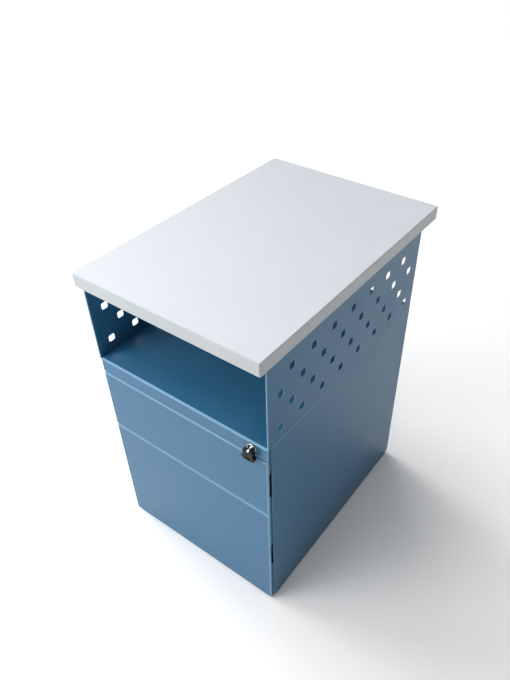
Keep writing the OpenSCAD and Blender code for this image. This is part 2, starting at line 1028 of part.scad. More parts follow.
module key_blade() {
    color(bright) {
        difference() {
            union() {
                translate([lock_x - blade_t / 2, hinge_y, lock_z - blade_h / 2])
                    cube([blade_t, rail_y - bezel_t + keyway_l - 2 - hinge_y, blade_h]);
                along_x_round(lock_x - tongue_t / 2) cylinder(r = tongue_r, h = tongue_t);
            }
            along_x_round(lock_x - tongue_t) cylinder(d = key_pin_d + 2 * seat, h = 2 * tongue_t);
            translate([lock_x - 5, hinge_y - 10, lock_z + tongue_r]) cube([10, 14, 5]);
        }
    }
}

// Places round pieces on the key's hinge, from x = x0 to the right
module along_x_round(x0) {
    translate([x0, hinge_y, lock_z]) rotate([0, 90, 0]) children();
}

module key_pin() {
    color(bright)
    along_x_round(lock_x - head_w / 2 + 3) cylinder(d = key_pin_d, h = head_w - 6);
}

// Outline of the key's head, seen from the front with the hinge at its origin: two ears at the
// hinge, a waist for the fingers, and a round end with a slot for a key ring
module head_outline() {
    ear_w = head_w - 4;
    waist_w = head_w - 8;
    end_h = head_l * 0.55;
    top = head_t / 2;
    difference() {
        union() {
            translate([0, (top - head_l) / 2]) rounded_rect(waist_w, head_l + top, 3);
            translate([0, -1.5]) rounded_rect(ear_w, 7, 3);
            translate([0, end_h / 2 - head_l]) rounded_rect(head_w, end_h, end_h * 0.46);
        }
        translate([0, 4.6 - head_l]) rounded_rect(12, 4, 1.9);
    }
}

module key_head() {
    fork = tongue_t + 2 * run;
    reach = tongue_r + run;
    color(black)
    difference() {
        intersection() {
            along_y(hinge_y - head_t / 2, head_t) translate([lock_x, lock_z]) head_outline();
            union() {
                along_x_round(lock_x - head_w) cylinder(d = head_t, h = 2 * head_w);
                translate([lock_x - head_w, hinge_y - head_t / 2, lock_z - 2 * head_l])
                    cube([2 * head_w, head_t, 2 * head_l]);
            }
        }
        translate([lock_x - fork / 2, hinge_y - head_t, lock_z - reach - run])
            cube([fork, 2 * head_t, 2 * head_t]);
        along_x_round(lock_x - head_w) cylinder(d = key_pin_d + 2 * seat, h = 2 * head_w);
    }
}

top_board();
edge_band();
board_inserts();
board_screws();
left_niche_panel();
right_niche_panel();
niche_floor();
shell_screws();
left_side_panel();
right_side_panel();
rear_panel();
base_panel();
lock_rail();
left_front_post();
left_rear_post();
right_front_post();
right_rear_post();
foot_brackets();
front_left_foot_pad();
front_left_foot_stud();
front_right_foot_pad();
front_right_foot_stud();
rear_left_foot_pad();
rear_left_foot_stud();
rear_right_foot_pad();
rear_right_foot_stud();
upper_drawer_front();
upper_drawer_box();
upper_drawer_back();
upper_drawer_screws();
upper_latch_stud();
lower_drawer_front();
lower_drawer_box();
lower_drawer_back();
lower_drawer_screws();
lower_latch_stud();
upper_left_outer_slide();
upper_left_middle_slide();
upper_left_inner_slide();
upper_right_outer_slide();
upper_right_middle_slide();
upper_right_inner_slide();
lower_left_outer_slide();
lower_left_middle_slide();
lower_left_inner_slide();
lower_right_outer_slide();
lower_right_middle_slide();
lower_right_inner_slide();
slide_screws();
lock_barrel();
lock_nut();
lock_plug();
lock_cam();
cam_screw();
lock_bar();
bar_guides();
key_blade();
key_pin();
key_head();
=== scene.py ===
"""Looks of the two-drawer steel pedestal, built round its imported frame.

Powder-coated sheet steel carcass and drawers, a melamine board on top, a cylinder lock with a
folding key. Everything is in metres in the frame's own axes: +Z up, the front faces -Y.
"""

import json
import math

import bmesh
import bpy
from mathutils import Matrix, Vector
from mathutils.geometry import tessellate_polygon


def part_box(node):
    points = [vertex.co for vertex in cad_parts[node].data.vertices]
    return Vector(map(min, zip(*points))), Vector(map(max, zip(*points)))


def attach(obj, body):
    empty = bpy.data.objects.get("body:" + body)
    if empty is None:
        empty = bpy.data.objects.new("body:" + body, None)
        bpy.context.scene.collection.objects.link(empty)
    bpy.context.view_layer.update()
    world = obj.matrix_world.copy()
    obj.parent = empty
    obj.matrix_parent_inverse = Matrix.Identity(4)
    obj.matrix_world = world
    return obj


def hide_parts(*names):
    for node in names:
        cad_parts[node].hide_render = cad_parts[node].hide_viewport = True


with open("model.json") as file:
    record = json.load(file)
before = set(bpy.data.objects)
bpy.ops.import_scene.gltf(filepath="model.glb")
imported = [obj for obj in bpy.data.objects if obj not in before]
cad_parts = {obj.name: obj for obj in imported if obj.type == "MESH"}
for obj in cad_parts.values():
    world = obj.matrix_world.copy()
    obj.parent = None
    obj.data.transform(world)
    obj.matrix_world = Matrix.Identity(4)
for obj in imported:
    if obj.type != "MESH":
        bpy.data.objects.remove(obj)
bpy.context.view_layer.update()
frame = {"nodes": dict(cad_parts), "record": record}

MM = 0.001
SHEET = 1 * MM
PAINT_RIM = 0.35 * MM        # radius that the powder coat leaves on a cut edge
SHARP = math.radians(35)     # an edge that turns more than this stays crisp
FLAT = math.radians(2)       # an edge that turns less than this joins flat faces
FOLD_STRIP = 1.2 * MM        # faces of a bend are narrower than this
BEND_HIGHLIGHT = 0.55             # how strongly the painted highlight pales the paint along a bend

# Sizes that the frame's boxes don't give
HEM_T = 3 * MM
HEM_L = 12 * MM
WALL_BEND = 1.0 * MM         # outside bend radius at the foot and top of a niche panel
SEAM_BEND = 3.5 * MM         # outside bend radius at the top of a side panel
NICHE_FLANGE = 22 * MM
BOARD_FLANGE = 26 * MM
HOLE_W = 15 * MM
HOLE_R = 3.5 * MM
HOLE_PITCH_Y = 64.3 * MM
HOLE_PITCH_Z = 39.6 * MM
HOLE_FIRST_Z = 26.5 * MM
HOLE_ROWS = 4
HOLE_COLUMNS = 8
SIDE_CORNER_R = 13 * MM
WALL_RIM = 0.48 * MM         # rounding of a side panel's rolled edges
BOARD_CORNER_R = 3.5 * MM
BAND_T = 2 * MM
BAND_EASE = 1.4 * MM         # radius scraped along the edge band's arrises
FRONT_BEND = 3.2 * MM        # outside bend radius of the drawer fronts
FRONT_CORNER = 1.4 * MM
RAIL_BEND = 1.6 * MM
FLOOR_BEND = 3.6 * MM        # outside bend radius along the front of the niche floor
FLOOR_LIP = 5 * MM
REAR_BEND = 1.2 * MM
FRONT_LIP_H = 24 * MM
RAIL_LIP = (6 * MM, 5 * MM)
PULL_H = 61 * MM
PULL_SLANT = 9 * MM
UPPER_PULL_RISE = 87 * MM    # middle of a pull above the lower edge of its front
LOWER_PULL_RISE = 166 * MM
BEZEL_T = 3 * MM
THREAD_PITCH = 1.5 * MM
KEYWAY = (2.6 * MM, 8.4 * MM, 28 * MM)    # width, height, depth
SCREW_BORE_R = 1.55 * MM
BLADE_T = 2.4 * MM
BLADE_H = 8 * MM
BITTING = (1.1, 0.6, 1.5, 0.9, 1.3)       # depths of the key's cuts, in mm
TONGUE_T = 3 * MM
TONGUE_R = 3.6 * MM
PIN_BORE_R = 1.25 * MM
PIN_CUTS = (0.9 * MM, 1.7 * MM, 2.6 * MM)  # where a key cut reaches its floor, leaves it and ends
CUT_PITCH = 3.2 * MM
FIRST_CUT = 4 * MM           # behind the lock's face
BLADE_LEAD = 2.5 * MM        # slant of the blade's lower tip
BLADE_CHAMFER = 1 * MM
GROOVE = (5 * MM, 0.4 * MM, 1.8 * MM, 0.5 * MM)   # start behind the hinge, lower and upper edge, depth
PLUG_GAP = 0.1 * MM
BEZEL_ROUND = 1.1 * MM
BEZEL_LEDGE = 1.5 * MM       # how far the bezel stands out past the barrel
THREAD_START = 1.5 * MM      # plain length at each end of the barrel's thread
THREAD_DEPTH = 0.6 * MM
BARREL_CHAMFER = 0.8 * MM
PLUG_DISH = 0.35 * MM
PLUG_CHAMFER = 0.5 * MM
SCREW_BORE_DEPTH = 6 * MM
KEYWAY_CORNER = 0.3 * MM
KEY_HEAD_EASE = 0.7 * MM
PAD_FLUTES = 18
FLUTE_DEPTH = 0.035          # share of the pad's radius
PAD_BOSS_R = 5 * MM
PAD_FOOT_ROUND = 2 * MM
PAD_TOP_ROUND = 1 * MM
LIP_PAST_BOX = 18 * MM       # a front's lip covers this much of the drawer's width at each side
LEAST_CORNER = 0.15 * MM
PULL_CORNER = 1.5 * MM
NOTCH_CORNER = 0.2 * MM

# Shares of a screw's own sizes
CROWN = 0.02                 # rise of the head's middle, of its height
HEAD_SHARE = 0.9             # points farther out than this share of the head's radius are the head's
THREAD_ROOT = 0.86
TIP_SHARE = 0.8
PITCH_SHARE = 0.45           # thread pitch, of the shank's radius
LEAST_PITCH = 0.7 * MM
RECESS_ARM = 0.52            # of the head's radius, as is the next
RECESS_HALF_WIDTH = 0.1
RECESS_DEPTH = 0.6           # of the head's height

# How the pieces are drawn
WELD = 0.0005 * MM           # points nearer than this become one
NODE_WELD = 0.002 * MM       # the same in a node's mesh
AXIS_R = 0.01 * MM           # a turned profile ends this far from its axis
LAP = 1 * MM                 # a wall starts this far past a bend and ends this far inside a hem
CUT_PROUD = 1 * MM           # how far a cutter stands out of what it cuts
JOIN = 0.5 * MM              # how far a flange's leg runs on into its wall

board_low, board_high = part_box("edge_band")
panel_low, panel_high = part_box("right_niche_panel")
side_low, side_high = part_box("right_side_panel")
half_w = panel_high.x
front_y = panel_low.y
back_y = panel_high.y
shelf_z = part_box("niche_floor")[1].z
board_z = board_low.z

barrel_low, barrel_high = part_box("lock_barrel")
plug_low, plug_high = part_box("lock_plug")
lock_x = (barrel_low.x + barrel_high.x) / 2
lock_z = (barrel_low.z + barrel_high.z) / 2
lock_face_y = barrel_low.y
bezel_r = (barrel_high.x - barrel_low.x) / 2
barrel_r = bezel_r - BEZEL_LEDGE
plug_r = (plug_high.x - plug_low.x) / 2
pin_low, pin_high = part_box("key_pin")
hinge_y = (pin_low.y + pin_high.y) / 2


# ---------------------------------------------------------------- finishes

NOISE_SPAN = {"From Min": 0.3, "From Max": 0.7}    # most of a noise's values lie between these


def colour(hex_code):
    """Linear RGBA of an sRGB hex colour."""
    parts = [int(hex_code[i:i + 2], 16) / 255 for i in (1, 3, 5)]
    return [c / 12.92 if c <= 0.04045 else ((c + 0.055) / 1.055) ** 2.4 for c in parts] + [1.0]


def add(tree, kind, props=None, values=None, wires=None, stops=None):
    """Adds a node: props are its settings, values its sockets' numbers, wires its incoming links."""
    made = tree.nodes.new(kind)
    for key, value in (props or {}).items():
        setattr(made, key, value)
    for key, value in (values or {}).items():
        made.inputs[key].default_value = value
    for key, source in (wires or {}).items():
        tree.links.new(source, made.inputs[key])
    if stops:
        for i, (spot, shade) in enumerate(stops):
            element = made.color_ramp.elements[i]
            element.position = spot
            element.color = shade
    return made


def new_finish(name, **surface):
    """A material whose shader's sockets hold these uniform values.

    Returns it with its node tree, its shader and the place that its patterns are drawn by.
    """
    made = bpy.data.materials.new(name)
    made.use_nodes = True
    tree = made.node_tree
    shader = tree.nodes["Principled BSDF"]
    for key, value in surface.items():
        shader.inputs[key.replace("_", " ")].default_value = value
    place = add(tree, "ShaderNodeTexCoord").outputs["Object"]
    return made, tree, shader, place


def waves(size):
    """Noise scale whose blobs are about this many metres across."""
    return 1 / size


def powder_coat():
    """Semi-gloss polyester powder coat, sprayed dry and baked on sheet steel.

    The eye sees an even blue with soft wide reflections, broken by the orange-peel wave of the
    melted powder. The real wave is about 2 mm long; it is drawn at 3.5 mm so that it shows, and the
    much finer grain at 0.9 mm. Every fold and rounded cut edge is painted a paler blue, a painted
    highlight for the light that these bends catch; fold says where it goes.
    """
    drift_size = 90 * MM
    peel_size = 3.5 * MM
    grain_size = 0.9 * MM
    made, tree, shader, place = new_finish("blue_powder_coat", IOR=1.5, Specular_IOR_Level=0.4)
    drift = add(tree, "ShaderNodeTexNoise", values={"Scale": waves(drift_size), "Detail": 3},
                wires={"Vector": place})
    tint = add(tree, "ShaderNodeValToRGB", wires={"Fac": drift.outputs["Fac"]},
               stops=[(0.3, colour("#2d668a")), (0.7, colour("#326c90"))])
    fleck = add(tree, "ShaderNodeTexNoise", values={"Scale": waves(grain_size), "Detail": 2},
                wires={"Vector": place})
    shade = add(tree, "ShaderNodeValToRGB", wires={"Fac": fleck.outputs["Fac"]},
                stops=[(0.35, [0.94, 0.94, 0.94, 1]), (0.65, [1, 1, 1, 1])])
    body = add(tree, "ShaderNodeMixRGB", props={"blend_type": "MULTIPLY"}, values={"Fac": 1},
               wires={"Color1": tint.outputs["Color"], "Color2": shade.outputs["Color"]})
    # Painted highlight: folds and rounded edges are mixed towards a paler blue, for the light that they catch
    fold = add(tree, "ShaderNodeAttribute", props={"attribute_name": "fold"}).outputs["Fac"]
    painted_highlight = add(tree, "ShaderNodeMixRGB", values={"Color2": colour("#8fbcd8")},
               wires={"Fac": fold, "Color1": body.outputs["Color"]})
    tree.links.new(painted_highlight.outputs["Color"], shader.inputs["Base Color"])
    gloss = add(tree, "ShaderNodeMapRange", values={**NOISE_SPAN, "To Min": 0.34, "To Max": 0.42},
                wires={"Value": drift.outputs["Fac"]})
    tree.links.new(gloss.outputs["Result"], shader.inputs["Roughness"])
    peel = add(tree, "ShaderNodeTexNoise", values={"Scale": waves(peel_size), "Detail": 1},
               wires={"Vector": place})
    swell = add(tree, "ShaderNodeBump", values={"Strength": 0.22, "Distance": 0.12 * MM},
                wires={"Height": peel.outputs["Fac"]})
    grain = add(tree, "ShaderNodeBump", values={"Strength": 0.25, "Distance": 0.02 * MM},
                wires={"Height": fleck.outputs["Fac"], "Normal": swell.outputs["Normal"]})
    tree.links.new(grain.outputs["Normal"], shader.inputs["Normal"])
    return made


def melamine(name, low, high, rough, pore):
    """Melamine laminate or its matching edge band, pressed against a fine pearl plate.

    The eye sees a cool off-white, nearly even, with a satin sheen that the pearl texture spreads.
    The real pearl is 0.3 mm; pore is the size at which it is drawn, so that it shows.
    """
    cloud_size = 45 * MM
    made, tree, shader, place = new_finish(name, IOR=1.5)
    cloud = add(tree, "ShaderNodeTexNoise", values={"Scale": waves(cloud_size), "Detail": 4},
                wires={"Vector": place})
    tint = add(tree, "ShaderNodeValToRGB", wires={"Fac": cloud.outputs["Fac"]},
               stops=[(0.35, colour(low)), (0.65, colour(high))])
    pearl = add(tree, "ShaderNodeTexNoise", values={"Scale": waves(pore), "Detail": 2},
                wires={"Vector": place})
    shade = add(tree, "ShaderNodeValToRGB", wires={"Fac": pearl.outputs["Fac"]},
                stops=[(0.35, [0.965, 0.965, 0.965, 1]), (0.65, [1, 1, 1, 1])])
    body = add(tree, "ShaderNodeMixRGB", props={"blend_type": "MULTIPLY"}, values={"Fac": 1},
               wires={"Color1": tint.outputs["Color"], "Color2": shade.outputs["Color"]})
    tree.links.new(body.outputs["Color"], shader.inputs["Base Color"])
    gloss = add(tree, "ShaderNodeMapRange", values={**NOISE_SPAN, "To Min": rough, "To Max": rough + 0.08},
                wires={"Value": cloud.outputs["Fac"]})
    tree.links.new(gloss.outputs["Result"], shader.inputs["Roughness"])
    relief = add(tree, "ShaderNodeBump", values={"Strength": 0.3, "Distance": 0.03 * MM},
                 wires={"Height": pearl.outputs["Fac"]})
    tree.links.new(relief.outputs["Normal"], shader.inputs["Normal"])
    return made


def worked_metal(name, dark, light, rough, stretch, line, depth):
    """Bare or plated metal with the marks of how it was rolled, drawn or turned.

    stretch lengthens the marks along each axis, line is their width and depth their relief. Real
    rolled and turned marks are about 0.1 mm wide; they are drawn wider so that they show.
    """
    made, tree, shader, place = new_finish(name, Metallic=1.0)
    along = add(tree, "ShaderNodeMapping", values={"Scale": stretch}, wires={"Vector": place})
    marks = add(tree, "ShaderNodeTexNoise", values={"Scale": waves(line), "Detail": 3},
                wires={"Vector": along.outputs["Vector"]})
    tint = add(tree, "ShaderNodeValToRGB", wires={"Fac": marks.outputs["Fac"]},
               stops=[(0.3, colour(dark)), (0.7, colour(light))])
    tree.links.new(tint.outputs["Color"], shader.inputs["Base Color"])
    gloss = add(tree, "ShaderNodeMapRange", values={**NOISE_SPAN, "To Min": rough, "To Max": rough + 0.12},
                wires={"Value": marks.outputs["Fac"]})
    tree.links.new(gloss.outputs["Result"], shader.inputs["Roughness"])
    relief = add(tree, "ShaderNodeBump", values={"Strength": 0.3, "Distance": depth},
                 wires={"Height": marks.outputs["Fac"]})
    tree.links.new(relief.outputs["Normal"], shader.inputs["Normal"])
    return made


def moulded(name, tone, rough, spark):
    """Injection-moulded black plastic with the fine erosion texture of its mould.

    The real texture is about 0.1 mm; spark is the size at which it is drawn, so that it shows.
    """
    made, tree, shader, place = new_finish(name, IOR=1.49, Specular_IOR_Level=0.25)
    grit = add(tree, "ShaderNodeTexNoise", values={"Scale": waves(spark), "Detail": 3},
               wires={"Vector": place})
    tint = add(tree, "ShaderNodeValToRGB", wires={"Fac": grit.outputs["Fac"]},
               stops=[(0.3, colour("#060607")), (0.7, colour(tone))])
    tree.links.new(tint.outputs["Color"], shader.inputs["Base Color"])
    gloss = add(tree, "ShaderNodeMapRange", values={**NOISE_SPAN, "To Min": rough, "To Max": rough + 0.1},
                wires={"Value": grit.outputs["Fac"]})
    tree.links.new(gloss.outputs["Result"], shader.inputs["Roughness"])
    relief = add(tree, "ShaderNodeBump", values={"Strength": 0.35, "Distance": 0.03 * MM},
                 wires={"Height": grit.outputs["Fac"]})
    tree.links.new(relief.outputs["Normal"], shader.inputs["Normal"])
    return made


paint = powder_coat()
laminate = melamine("white_laminate", "#c6ccd2", "#c9ced4", 0.40, 1.4 * MM)
banding = melamine("white_edge_band", "#b2b9bd", "#b7bdc0", 0.34, 2.2 * MM)
# Zinc plate: pickled, plated and passivated, so a cool grey with soft cloudy patches
zinc = worked_metal("zinc_plate", "#a3a7aa", "#c4c7ca", 0.30, (1, 1, 1), 6 * MM, 0.01 * MM)
# Slide steel: cold-rolled strip, bright zinc, with fine lines along its length
slide_steel = worked_metal("slide_steel", "#b0b3b6", "#cfd1d3", 0.22, (1, 0.03, 1), 0.8 * MM, 0.008 * MM)
# Brass inserts, turned from bar: rings round their axis, soft yellow
brass = worked_metal("brass", "#a5853f", "#c9a75c", 0.26, (1, 1, 0.1), 1.2 * MM, 0.01 * MM)
# Nickel-chrome plate over a die-cast lock: nearly a mirror, with a faint haze
chrome = worked_metal("lock_chrome", "#c9cbcd", "#e2e3e4", 0.10, (1, 1, 1), 4 * MM, 0.004 * MM)
# ABS key head, moulded with a light erosion texture
key_black = moulded("key_plastic", "#0d0d0f", 0.42, 1.2 * MM)
# Polypropylene foot pad, coarser and duller
pad_black = moulded("black_plastic", "#1f1f20", 0.48, 1.6 * MM)

FINISH = {
    "blue_powder_coat": paint,
    "white_laminate": laminate,
    "white_edge_band": banding,
    "zinc_plate": zinc,
    "slide_steel": slide_steel,
    "brass": brass,
    "lock_chrome": chrome,
    "key_plastic": key_black,
    "black_plastic": pad_black,
}
slot_of = {s["node"]: s["material_slot"] for s in frame["record"]["subparts"]}


def paint_nodes():
    """Gives every node of the frame the finish that its record names."""
    for name, obj in frame["nodes"].items():
        obj.data.materials.clear()
        obj.data.materials.append(FINISH[slot_of[name]])


# ---------------------------------------------------------------- shaping tools


def arc(cx, cy, radius, start, end, steps):
    """Points of a circle from one angle to another, in degrees."""
    angles = [math.radians(start + (end - start) * k / steps) for k in range(steps + 1)]
    return [(cx + radius * math.cos(a), cy + radius * math.sin(a)) for a in angles]


def circle(cx, cy, radius, steps=48):
    """Points of a whole circle, counter-clockwise."""
    return arc(cx, cy, radius, 0, 360, steps)[:-1]


def rounded_loop(x0, y0, x1, y1, radius, steps=6):
    """A rectangle with round corners, counter-clockwise."""
    r = radius
    return (arc(x1 - r, y0 + r, r, -90, 0, steps) + arc(x1 - r, y1 - r, r, 0, 90, steps)
            + arc(x0 + r, y1 - r, r, 90, 180, steps) + arc(x0 + r, y0 + r, r, 180, 270, steps))


def soft_corners(corners, cut, steps=3):
    """A polygon whose corners are rounded, each starting this far before and ending this far after."""
    loop = []
    for i, corner in enumerate(corners):
        here = Vector(corner)
        before = (Vector(corners[i - 1]) - here).normalized() * cut
        after = (Vector(corners[(i + 1) % len(corners)]) - here).normalized() * cut
        for k in range(steps + 1):
            f = k / steps
            loop.append(tuple(here + before * (1 - f) ** 2 + after * f ** 2))
    return loop


def bent_strip(path, thick, bend, steps=8):
    """Outline of a bent strip of sheet, from its middle line and the bend radius on that line."""
    points = [Vector(p) for p in path]
    left, right = [], []

    def put(spot, heading):
        side = Vector((-heading.y, heading.x)) * thick / 2
        left.append(spot + side)
        right.append(spot - side)

    put(points[0], (points[1] - points[0]).normalized())
    for before, corner, after in zip(points, points[1:], points[2:]):
        d0 = (corner - before).normalized()
        d1 = (after - corner).normalized()
        turn = math.atan2(d0.x * d1.y - d0.y * d1.x, d0.dot(d1))
        start = corner - d0 * bend * math.tan(abs(turn) / 2)
        centre = start + Vector((-d0.y, d0.x)) * math.copysign(bend, turn)
        for k in range(steps + 1):
            spin = Matrix.Rotation(turn * k / steps, 2)
            put(centre + spin @ (start - centre), spin @ d0)
    put(points[-1], (points[-1] - points[-2]).normalized())
    return [tuple(p) for p in left + right[::-1]]


def skin(bm, loops, closed=False):
    """Joins rings of equal count with quads; closed joins the last to the first."""
    rings = [[bm.verts.new(p) for p in loop] for loop in loops]
    pairs = list(zip(rings, rings[1:]))
    if closed:
        pairs.append((rings[-1], rings[0]))
    for low, high in pairs:
        count = len(low)
        for i in range(count):
            j = (i + 1) % count
            bm.faces.new((low[i], low[j], high[j], high[i]))
    return rings


def prism(bm, loop, spot, a, b):
    """Draws a section out from a to b; spot(u, v, s) gives the place of a section point."""
    rings = skin(bm, [[spot(u, v, s) for u, v in loop] for s in (a, b)])
    for ring in rings:
        bm.faces.new(ring)


def across(u, v, s):
    """Place of a section in the plane (y, z) that is drawn out along x."""
    return (s, u, v)


def upright(u, v, s):
    """Place of a section in the plane (x, y) that is drawn out along z."""
    return (u, v, s)


def shifted(loop, amount):
    """A counter-clockwise loop moved inwards by amount; a clockwise one moves outwards."""
    moved = []
    for i, point in enumerate(loop):
        here = Vector(point)
        d0 = (here - Vector(loop[i - 1])).normalized()
        d1 = (Vector(loop[(i + 1) % len(loop)]) - here).normalized()
        n0 = Vector((-d0.y, d0.x))
        n1 = Vector((-d1.y, d1.x))
        moved.append(tuple(here + (n0 + n1) * amount / (1 + n0.dot(n1))))
    return moved


def plate(bm, outline, holes, spot, thick, rim, steps=3):
    """A flat sheet with holes, in the plane that spot(u, v, s) sets, from s = 0 to thick.

    Its cut edges are rounded by rim. Outline and holes all run counter-clockwise.
    """
    rounding = [(rim * (1 - math.sin(a)), rim * (1 - math.cos(a)))
                for a in (math.radians(90 * k / steps) for k in range(steps + 1))]
    stations = rounding + [(inset, thick - depth) for inset, depth in rounding[::-1]]
    walls = []
    for loop in [outline] + [hole[::-1] for hole in holes]:
        walls.append(skin(bm, [[spot(u, v, s) for u, v in shifted(loop, inset)] for inset, s in stations]))
    for side in (0, -1):
        loops = [rings[side] for rings in walls]
        corners = [v for loop in loops for v in loop]
        for tri in tessellate_polygon([[v.co for v in loop] for loop in loops]):
            bm.faces.new([corners[i] for i in tri])


def turned(bm, profile, spot, steps=48, flute=None):
    """Turns a closed profile of (radius, depth) points round an axis; spot(a, b, s) places it.

    flute(angle) gives a share that the radius keeps at that angle.
    """
    loops = []
    for k in range(steps):
        a = 2 * math.pi * k / steps
        keep = flute(a) if flute else 1
        loops.append([spot(r * keep * math.cos(a), r * keep * math.sin(a), s) for r, s in profile])
    skin(bm, loops, closed=True)


def blank(draw, finish):
    """A closed mesh object, drawn by draw(bm) in the frame's axes."""
    bm = bmesh.new()
    draw(bm)
    bmesh.ops.remove_doubles(bm, verts=bm.verts, dist=WELD)
    bmesh.ops.dissolve_degenerate(bm, edges=bm.edges, dist=WELD)
    bmesh.ops.recalc_face_normals(bm, faces=bm.faces)
    mesh = bpy.data.meshes.new("blank")
    bm.to_mesh(mesh)
    bm.free()
    mesh.materials.append(finish)
    obj = bpy.data.objects.new("blank", mesh)
    bpy.context.scene.collection.objects.link(obj)
    return obj


def combine(obj, others, how):
    """Joins closed shapes to a piece (UNION), or cuts them out of it (DIFFERENCE)."""
    finish = obj.data.materials[0]
    for other in others:
        step = obj.modifiers.new("combine", "BOOLEAN")
        step.object = other
        step.operation = how
        step.solver = "EXACT"
    shaped = obj.evaluated_get(bpy.context.evaluated_depsgraph_get())
    mesh = bpy.data.meshes.new_from_object(shaped)
    obj.modifiers.clear()
    obj.data = mesh
    mesh.materials.clear()
    mesh.materials.append(finish)
    mesh.polygons.foreach_set("material_index", [0] * len(mesh.polygons))
    for other in others:
        bpy.data.objects.remove(other)
    return obj


def mark_painted_highlights(mesh):
    """Notes on each face, as fold, how much painted highlight it gets: in bends and on rounded edges."""
    bm = bmesh.new()
    bm.from_mesh(mesh)
    fold = bm.faces.layers.float.new("fold")
    for face in bm.faces:
        longest = max(face.edges, key=bmesh.types.BMEdge.calc_length)
        narrow = face.calc_area() / longest.calc_length() < FOLD_STRIP
        bends = longest.is_manifold and FLAT < longest.calc_face_angle(0) < SHARP
        face[fold] = BEND_HIGHLIGHT if narrow and bends else 0.0
    bm.to_mesh(mesh)
    bm.free()


def settle(obj, name, body, slot, *nodes):
    """Names and shades a finished piece, and hands it to its body."""
    obj.name = name
    mesh = obj.data
    mesh.name = name
    # Where the painted highlight goes: narrow faces in bends and on rounded edges
    mark_painted_highlights(mesh)
    mesh.polygons.foreach_set("use_smooth", [True] * len(mesh.polygons))
    mesh.set_sharp_from_angle(angle=SHARP)
    level = obj.modifiers.new("level_faces", "WEIGHTED_NORMAL")
    level.keep_sharp = True
    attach(obj, body)
    if nodes:
        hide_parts(*nodes)


def node_mesh(node):
    """A node's mesh, welded, with each flat face in one piece."""
    bm = bmesh.new()
    bm.from_mesh(frame["nodes"][node].data)
    bmesh.ops.remove_doubles(bm, verts=bm.verts, dist=NODE_WELD)
    bmesh.ops.dissolve_limit(bm, angle_limit=FLAT / 2, verts=bm.verts, edges=bm.edges)
    return bm


def eased(node, ease, body, slot):
    """A new piece of a node's shape with its crisp edges rounded off."""
    bm = node_mesh(node)
    crisp = [e for e in bm.edges if e.is_manifold and e.calc_face_angle(0) > SHARP]
    bmesh.ops.bevel(bm, geom=crisp, offset=ease, offset_type="OFFSET", segments=3, profile=0.5,
                    affect="EDGES", clamp_overlap=True)
    mesh = bpy.data.meshes.new(node)
    bm.to_mesh(mesh)
    bm.free()
    mesh.materials.append(FINISH[slot])
    obj = bpy.data.objects.new(node + "_eased", mesh)
    bpy.context.scene.collection.objects.link(obj)
    settle(obj, node + "_eased", body, slot, node)


# ---------------------------------------------------------------- board


def edge_band():
    """The board's ABS edge band: a 2 mm strip with its outer corners rounded off."""
    low, high = board_low, board_high
    profile = arc(BAND_EASE, low.z + BAND_EASE, BAND_EASE, 270, 180, 5)
    profile += arc(BAND_EASE, high.z - BAND_EASE, BAND_EASE, 180, 90, 5)
    profile += [(BAND_T, high.z), (BAND_T, low.z)]
    loops = []
    for inset, z in profile:
        loop = rounded_loop(low.x + inset, low.y + inset, high.x - inset, high.y - inset,
                            BOARD_CORNER_R - inset, 8)
        loops.append([(x, y, z) for x, y in loop])
    settle(blank(lambda bm: skin(bm, loops, closed=True), banding),
           "board_edge_band", "cabinet", "white_edge_band", "edge_band")


# ---------------------------------------------------------------- walls


def niche_hole_loops():
    """The rounded square holes of a niche panel, in the plane of the wall (y, z)."""
    middle = (front_y + back_y) / 2
    half = HOLE_W / 2
    loops = []
    for row in range(HOLE_ROWS):
        count = HOLE_COLUMNS - row % 2
        z = shelf_z + HOLE_FIRST_Z + row * HOLE_PITCH_Z
        for column in range(count):
            y = middle + (column - (count - 1) / 2) * HOLE_PITCH_Y
            loops.append(rounded_loop(y - half, z - half, y + half, z + half, HOLE_R, 5))
    return loops


def wall_flange(side, y0, y1, z_edge, z_leg, width):
    """A wall's edge bent inwards at z_edge, with a short leg on the wall up or down to z_leg."""
    up = math.copysign(1, z_leg - z_edge)
    x = half_w - SHEET / 2
    z = z_edge + up * SHEET / 2
    section = bent_strip([(x, z_leg), (x, z), (half_w - width, z)], SHEET, WALL_BEND - SHEET / 2)
    return blank(lambda bm: prism(bm, section, lambda u, v, s: (side * u, s, v), y0, y1), paint)


def wall_hem(side, end, inward, z0, z1):
    """A wall's front or rear end folded back on itself, in a round fold."""
    gap = HEM_T - SHEET
    x = half_w - SHEET / 2
    tip = end + inward * SHEET / 2
    far = end + inward * HEM_L
    section = bent_strip([(x, far), (x, tip), (x - gap, tip), (x - gap, far)], SHEET, gap / 2)
    return blank(lambda bm: prism(bm, section, lambda u, v, s: (side * u, v, s), z0, z1), paint)


def niche_panel(name, side):
    """A perforated wall with hemmed ends, bent in over the seam and under the board."""
    low_z = panel_low.z
    leg = WALL_BEND + LAP
    y0 = front_y + HEM_L - LAP
    y1 = back_y - HEM_L + LAP
    outline = [(y0, low_z + leg), (y1, low_z + leg), (y1, board_z - leg), (y0, board_z - leg)]
    holes = niche_hole_loops()
    wall = blank(lambda bm: plate(bm, outline, holes, lambda u, v, s: (side * (half_w - s), u, v),
                                  SHEET, PAINT_RIM), paint)
    combine(wall, [
        wall_flange(side, y0, y1, low_z, low_z + leg + JOIN, NICHE_FLANGE),
        wall_flange(side, y0, y1, board_z, board_z - leg - JOIN, BOARD_FLANGE),
        wall_hem(side, front_y, 1, low_z, board_z),
        wall_hem(side, back_y, -1, low_z, board_z),
    ], "UNION")
    settle(wall, name + "_sheet", "cabinet", "blue_powder_coat", name)


